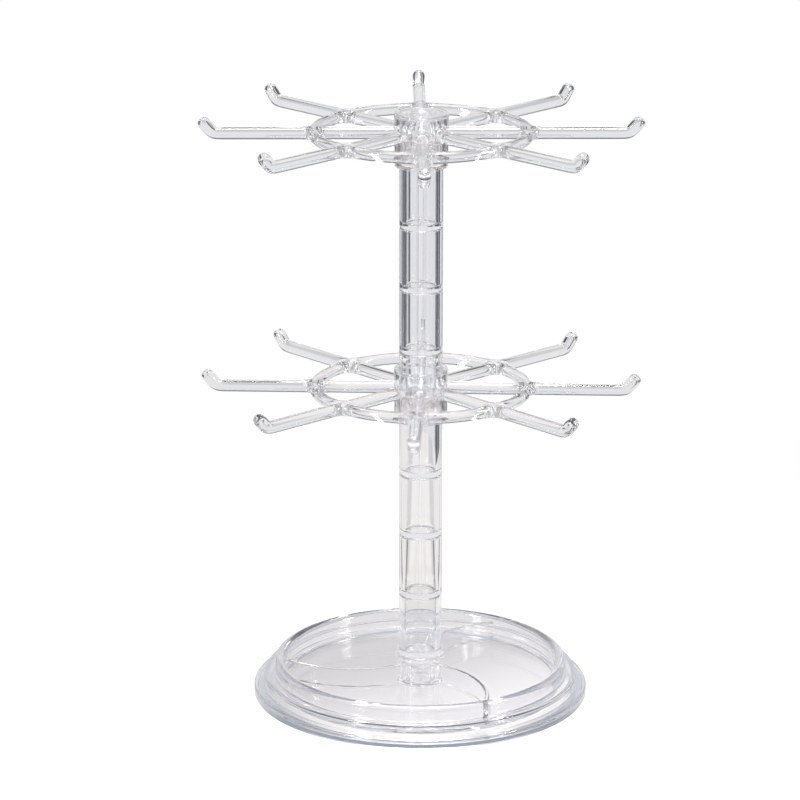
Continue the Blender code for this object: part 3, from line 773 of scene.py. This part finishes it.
def column_section():
    """The comb of a half tube: its outer wall, and a disc at both ends and between each two bays."""
    section = [(0.0, 0.0, 0.0), (column_radius, 0.0, 0.3), (column_radius, column_length, 0.3),
               (0.0, column_length, 0.0)]
    disc = column_length
    bottoms = [BAY_PITCH * index for index in range(int(column_length // BAY_PITCH))]
    for bottom in reversed(bottoms):
        section += [(0.0, disc - DISC_THICKNESS, 0.0), (bore, disc - DISC_THICKNESS, BAY_ROUND),
                    (bore, bottom + DISC_THICKNESS, BAY_ROUND), (0.0, bottom + DISC_THICKNESS, 0.0)]
        disc = bottom + DISC_THICKNESS
    return section


print("the comb has", len(column_section()), "corners")

# %% [markdown]
# A half is the comb swung through half a turn. It is then drawn in by the thickness of the gap, so that
# the two halves don't touch at the seam. Its long outer edges are bevelled, because the seam is seen as a
# line down the front, a few degrees to the left.

# %% Column halves
SEAM_TURN = {"lower": -4.0, "upper": -8.0}     # degrees from straight ahead
SEAM_ROUND, SEAM_STEPS = 0.4, 3                # radius of the softened long edges, and steps in its arc
ON_OUTSIDE = 0.01                              # what is nearer than this to the outside counts as on it
COLUMN_STEPS = 64


def column_half(lift, turn, upside_down):
    """A half tube, turned to its side of the seam. Its long outer edges are softened."""
    half = bmesh.new()
    corners = [half.verts.new((0.0, out, up)) for out, up in rounded(column_section())]
    face = half.faces.new(corners)
    bmesh.ops.spin(
        half, geom=[face, *face.edges, *face.verts], cent=(0.0, 0.0, 0.0), axis=(0.0, 0.0, 1.0),
        angle=math.pi, steps=COLUMN_STEPS, use_merge=False, use_normal_flip=False,
        use_duplicate=False)
    bmesh.ops.remove_doubles(half, verts=half.verts, dist=MERGE_DISTANCE)
    bmesh.ops.recalc_face_normals(half, faces=half.faces)
    drawn_in = (column_radius - CLEARANCE / 2) / column_radius
    bmesh.ops.scale(half, vec=(drawn_in, 1.0, 1.0), verts=half.verts)
    bmesh.ops.translate(half, vec=(-CLEARANCE / 2, 0.0, 0.0), verts=half.verts)
    outside = column_radius - ON_OUTSIDE
    seam_edges = [
        edge for edge in half.edges
        if all(vert.co.x > -CLEARANCE and abs(vert.co.y) > outside for vert in edge.verts)]
    bmesh.ops.bevel(
        half, geom=seam_edges, offset=SEAM_ROUND, offset_type="OFFSET", segments=SEAM_STEPS,
        profile=0.5, affect="EDGES", material=-1)
    place = Matrix.Translation((0.0, 0.0, lift)) @ Matrix.Rotation(turn, 4, "Z")
    if upside_down:
        place = place @ Matrix.Translation((0.0, 0.0, column_length)) @ Matrix.Rotation(math.pi, 4, "X")
    bmesh.ops.transform(half, matrix=place, verts=half.verts)
    return half


for place, upside_down in (("lower", False), ("upper", True)):
    for side, half_turn in (("left", 0.0), ("right", math.pi)):
        turn = half_turn + math.radians(SEAM_TURN[place])
        half = column_half(column_span[place][0], turn, upside_down)
        print("open edges on a column half:", open_edges(half))
        finished(half, f"{place}_{side}_half", column_plastic, "stand", f"{place}_column_{side}")

# %% [markdown]
# A collar is a coupling. The photograph shows upright lines in it, which are read here as gripping
# grooves inside its upper socket. A bump could fake them, but real steps in a clear wall bend what is
# behind them. The collar is turned first and the grooves are cut with one Boolean.

# %% Collars
COLLAR_LOWER_SOCKET, COLLAR_WEB, COLLAR_UPPER_SOCKET = 3.7, 1.5, 9.8
GROOVE_COUNT, GROOVE_WIDTH = 24, 1.5
HUB_WALL, HUB_ABOVE, HUB_BELOW = 2.4, 10.3, 1.5
ROD_RADIUS = 3.25
ROOT_DEPTH = 0.5

hub_radius = socket_radius + HUB_WALL
arm_start = hub_radius - ROOT_DEPTH
collar_radius = socket_radius + COLLAR_WALL
neck_radius = arm_start - CLEARANCE
neck_top = COLLAR_WEB + COLLAR_UPPER_SOCKET
shoulder = neck_top + HUB_BELOW - ROD_RADIUS
COLLAR_SECTION = [
    (0.0, COLLAR_WEB, 0.0),
    (socket_radius, COLLAR_WEB, 0.3),
    (socket_radius, neck_top, 0.2),
    (neck_radius, neck_top, 0.3),
    (neck_radius, shoulder, 0.2),
    (collar_radius, shoulder, 0.25),
    (collar_radius, -COLLAR_LOWER_SOCKET, 0.5),
    (socket_radius, -COLLAR_LOWER_SOCKET, 0.2),
    (socket_radius, 0.0, 0.2),
    (0.0, 0.0, 0.0),
]


def grooves():
    """The blocks that cut the gripping grooves."""
    block = bmesh.new()
    bmesh.ops.create_cube(block, size=1.0)
    depth = neck_radius - socket_radius
    bmesh.ops.scale(block, vec=(depth, GROOVE_WIDTH, COLLAR_UPPER_SOCKET), verts=block.verts)
    middle = COLLAR_WEB + CLEARANCE + COLLAR_UPPER_SOCKET / 2
    bmesh.ops.translate(block, vec=(socket_radius, 0.0, middle), verts=block.verts)
    return copied_round(block, GROOVE_COUNT)


for place in ("lower", "upper"):
    web_height = span(f"{place}_collar", 2)[0] + COLLAR_LOWER_SOCKET
    collar = combined(spun(rounded(COLLAR_SECTION)), grooves(), "DIFFERENCE")
    bmesh.ops.translate(collar, vec=(0.0, 0.0, web_height), verts=collar.verts)
    print("open edges on a collar:", open_edges(collar))
    finished(collar, f"{place}_coupling", collar_plastic, "stand", f"{place}_collar")

# %% [markdown]
# On top, a short tube stands in the upper collar and a cap plugs into it. Lower down, a flat ring round
# the column keeps the lower tier in place. The cap and the ring lie in the shallow recess in a drum's top.
# All three are plain turned pieces, so one loop makes them from their sections.

# %% Spindle, cap and ring
RECESS_LIP, RECESS_DEPTH = 0.95, 2.0
COVER_THICKNESS, CAP_PLUG_LENGTH = 1.4, 6.0

recess_radius = hub_radius - RECESS_LIP
cover_radius = recess_radius - CLEARANCE
cover_base = HUB_ABOVE - RECESS_DEPTH + CLEARANCE
cover_top = cover_base + COVER_THICKNESS
plug_radius = bore - CLEARANCE
spindle_base = -(COLLAR_UPPER_SOCKET + HUB_BELOW)
SPINDLE_SECTION = [
    (0.0, spindle_base + DISC_THICKNESS, 0.0),
    (bore, spindle_base + DISC_THICKNESS, 1.0),
    (bore, cover_base - CLEARANCE, 0.3),
    (column_radius, cover_base - CLEARANCE, 0.3),
    (column_radius, spindle_base, 0.3),
    (0.0, spindle_base, 0.0),
]
RING_SECTION = [
    (socket_radius, cover_top, 0.2),
    (cover_radius, cover_top, 0.4),
    (cover_radius, cover_base, 0.2),
    (socket_radius, cover_base, 0.2),
]
CAP_SECTION = [
    (0.0, cover_top, 0.0),
    (cover_radius, cover_top, 0.7),
    (cover_radius, cover_base, 0.2),
    (plug_radius, cover_base, 0.2),
    (plug_radius, cover_base - CAP_PLUG_LENGTH, 0.4),
    (plug_radius - SPIGOT_WALL, cover_base - CAP_PLUG_LENGTH, 0.4),
    (plug_radius - SPIGOT_WALL, cover_base, 0.5),
    (0.0, cover_base, 0.0),
]
for section, name, plastic, place, node in (
    (SPINDLE_SECTION, "spindle", inner_plastic, "upper_tier", "top_spindle"),
    (RING_SECTION, "keeper_ring", tier_plastic, "lower_tier", "retaining_ring"),
    (CAP_SECTION, "cap", tier_plastic, "upper_tier", "top_cap"),
):
    turned = spun(rounded(section), lift=joint_height[place])
    finished(turned, name, plastic, "stand", node)

# %% [markdown]
# A tier is the moulding that takes the most skill: a drum, eight hooked arms and a ring that flow into
# each other at the crossings. A Boolean of plain rods would leave sharp creases there.
# So one eighth of it is a coarse cage of square tubes that starts as a cube at the crossing. Four of its
# faces are extruded, two along the arm and two along the ring, station by station. A Subdivision Surface
# then rounds it: a square tube becomes a round rod, and the crossing gets its soft corners by itself.

# %% Growing a cage


def station(x, y, z, turn=0.0, tilt=0.0, size=1.0):
    """Where a tube's open end goes: its place, its turn about Z, its tilt upwards and its size."""
    return (Matrix.Translation((x, y, z)) @ Matrix.Rotation(turn, 4, "Z")
            @ Matrix.Rotation(-tilt, 4, "Y") @ Matrix.Scale(size, 4))


def grown(cage, face, start, stations):
    """Extrude a face through stations. Returns the face at the end."""
    before = start
    for after in stations:
        face = bmesh.ops.extrude_discrete_faces(cage, faces=[face])["faces"][0]
        bmesh.ops.transform(cage, matrix=after @ before.inverted(), verts=face.verts)
        before = after
    return face


def facing(cage, x, y):
    """The cage's face that looks in a direction."""
    aim = Vector((x, y, 0.0))
    return max(cage.faces, key=lambda face: face.normal.dot(aim))


print("cage helpers ready")

# %% [markdown]
# The stations say where a tube is narrow, bent or ended. Two close together pin the surface down, so they
# crowd round the bend and at the tip, and are far apart on the straight. On the way in, the last one lies
# inside the drum's wall. A curve with a round bevel would give the same rods, but no crossings.

# %% Stations
ARM_COUNT = 8
ARM_REACH = 107.8
ARM_STATIONS = (70.0, 85.0)
HOOK_ANGLE, HOOK_BEND_RADIUS, HOOK_RISE = 48.0, 4.5, 4.8
BEFORE_BEND = (6.0, 2.0)           # stations this far before the bend
BEND_SHARES = (0.15, 0.5, 0.85)    # and at these shares of its angle
HOOK_TIP = ((-1.8, 1.0), (0.75, 1.0), (2.6, 0.78), (3.27, 0.42))    # millimetres ahead, and size
RING_RADIUS, RING_STATIONS = 53.5, 3    # the second counts them past the first, to half an arm's gap
CROSSING_ROOM = 3.4                # from the crossing's cube to the first station beyond it
SPOKE_STATIONS = (36.0, 24.0)
BEFORE_HUB = (3.0, 1.2)            # stations this far outside the drum
ROOT_SIZE = 1.04                   # size of the tube's end inside the drum's wall


def hook_stations(half):
    """Stations from the crossing out along the arm, round the bend and up to the tip."""
    angle = math.radians(HOOK_ANGLE)
    tail = (HOOK_RISE - HOOK_BEND_RADIUS * (1.0 - math.cos(angle))) / math.sin(angle)
    bend_start = ARM_REACH - HOOK_BEND_RADIUS * math.sin(angle) - tail * math.cos(angle)
    straight = [RING_RADIUS + half + CROSSING_ROOM, *ARM_STATIONS]
    straight += [bend_start - before for before in BEFORE_BEND]
    route = [station(x, 0.0, 0.0) for x in straight]
    for share in BEND_SHARES:
        swung = angle * share
        route.append(station(
            bend_start + HOOK_BEND_RADIUS * math.sin(swung), 0.0,
            HOOK_BEND_RADIUS * (1.0 - math.cos(swung)), tilt=swung))
    for ahead, size in HOOK_TIP:
        route.append(station(
            ARM_REACH + ahead * math.cos(angle), 0.0, HOOK_RISE + ahead * math.sin(angle),
            tilt=angle, size=size))
    return route


def spoke_stations(half):
    """Stations from the crossing inwards, to inside the drum's wall."""
    straight = [RING_RADIUS - half - CROSSING_ROOM, *SPOKE_STATIONS]
    straight += [hub_radius + before for before in BEFORE_HUB]
    route = [station(x, 0.0, 0.0) for x in straight]
    return route + [station(arm_start, 0.0, 0.0, size=ROOT_SIZE)]


def ring_stations(half, squeeze, sign):
    """Stations from the crossing along the ring, to halfway towards the next arm."""
    first = (half + CROSSING_ROOM) / RING_RADIUS
    last = math.pi / ARM_COUNT
    route = []
    for index in range(RING_STATIONS + 1):
        angle = first + (last - first) * index / RING_STATIONS
        x = RING_RADIUS * math.cos(angle)
        y = sign * RING_RADIUS * math.sin(angle)
        size = squeeze if index else (1.0 + squeeze) / 2
        route.append(station(x, y, 0.0, turn=sign * angle, size=size))
    return route


print("stations along a hook:", len(hook_stations(ROD_RADIUS)))

# %% [markdown]
# The cage of one arm has a square half width of a little more than the rod's radius, because rounding
# draws the surface in. Its root is creased, so that the end inside the drum's wall stays full and flat.
# The two ends on the ring are left open, so that eight cages can be welded into a closed one.

# %% Cage of one arm
RING_TUBE_RADIUS = 3.0
CAGE_FACTOR = 0.93         # radius of the round rod that a square tube of half width 1 becomes


def arm_cage():
    """One eighth of a tier's rods as a coarse cage of square tubes."""
    half = ROD_RADIUS / CAGE_FACTOR
    ring_half = RING_TUBE_RADIUS / CAGE_FACTOR
    cage = bmesh.new()
    bmesh.ops.create_cube(cage, size=2.0)
    bmesh.ops.scale(cage, vec=(ring_half, half, half), verts=cage.verts)
    bmesh.ops.translate(cage, vec=(RING_RADIUS, 0.0, 0.0), verts=cage.verts)
    cage.normal_update()
    outer, inner = facing(cage, 1.0, 0.0), facing(cage, -1.0, 0.0)
    left, right = facing(cage, 0.0, 1.0), facing(cage, 0.0, -1.0)
    grown(cage, outer, station(RING_RADIUS + ring_half, 0.0, 0.0), hook_stations(ring_half))
    root = grown(cage, inner, station(RING_RADIUS - ring_half, 0.0, 0.0), spoke_stations(ring_half))
    crease = cage.edges.layers.float.new("crease_edge")
    for edge in root.edges:
        edge[crease] = 1.0
    squeeze = ring_half / half
    for side, sign in ((left, 1.0), (right, -1.0)):
        start = station(RING_RADIUS, sign * half, 0.0)
        end = grown(cage, side, start, ring_stations(half, squeeze, sign))
        bmesh.ops.delete(cage, geom=[end], context="FACES_ONLY")
    return cage


cage = arm_cage()
print("cage of one arm:", len(cage.verts), "vertices,", len(cage.faces), "faces")

# %% [markdown]
# The eight cages are welded into one, rounded, and joined to the drum in their middle, which is turned
# like the other round pieces. Both tiers are the same moulding at their own heights, and each is turned by
# the degree or two that the photograph shows.

# %% Tiers
SUBDIVISIONS = 3
WELD_DISTANCE = 1e-2       # points of two cages that are nearer than this are welded
TIER_FLAT_ANGLE = 40.0     # degrees from which an edge of a tier counts as sharp
DRUM_SECTION = [
    (socket_radius, HUB_ABOVE - RECESS_DEPTH, 0.2),
    (recess_radius, HUB_ABOVE - RECESS_DEPTH, 0.2),
    (recess_radius, HUB_ABOVE, 0.35),
    (hub_radius, HUB_ABOVE, 0.5),
    (hub_radius, -HUB_BELOW, 0.3),
    (socket_radius, -HUB_BELOW, 0.3),
]
TIER_TURN = {"lower_tier": -1.8, "upper_tier": 0.8}    # degrees, as the photograph shows them


def rods():
    """All eight arms and the ring as one smooth closed shape."""
    cage = copied_round(arm_cage(), ARM_COUNT)
    bmesh.ops.remove_doubles(cage, verts=cage.verts, dist=WELD_DISTANCE)
    mesh = bpy.data.meshes.new("rods")
    cage.to_mesh(mesh)
    cage.free()
    smooth = bpy.data.objects.new("rods", mesh)
    bpy.context.scene.collection.objects.link(smooth)
    surface = smooth.modifiers.new("Round", "SUBSURF")
    surface.levels = SUBDIVISIONS
    surface.render_levels = SUBDIVISIONS
    graph = bpy.context.evaluated_depsgraph_get()
    result = bmesh.new()
    result.from_mesh(smooth.evaluated_get(graph).to_mesh())
    bpy.data.objects.remove(smooth)
    bmesh.ops.recalc_face_normals(result, faces=result.faces)
    return result


for name, turn in TIER_TURN.items():
    tier = combined(spun(rounded(DRUM_SECTION)), rods(), "UNION")
    lift = Matrix.Translation((0.0, 0.0, joint_height[name]))
    swing = Matrix.Rotation(math.radians(turn), 4, "Z")
    bmesh.ops.transform(tier, matrix=lift @ swing, verts=tier.verts)
    print("open edges on a tier:", open_edges(tier))
    finished(tier, f"{name}_moulding", tier_plastic, name, name, flat=TIER_FLAT_ANGLE)
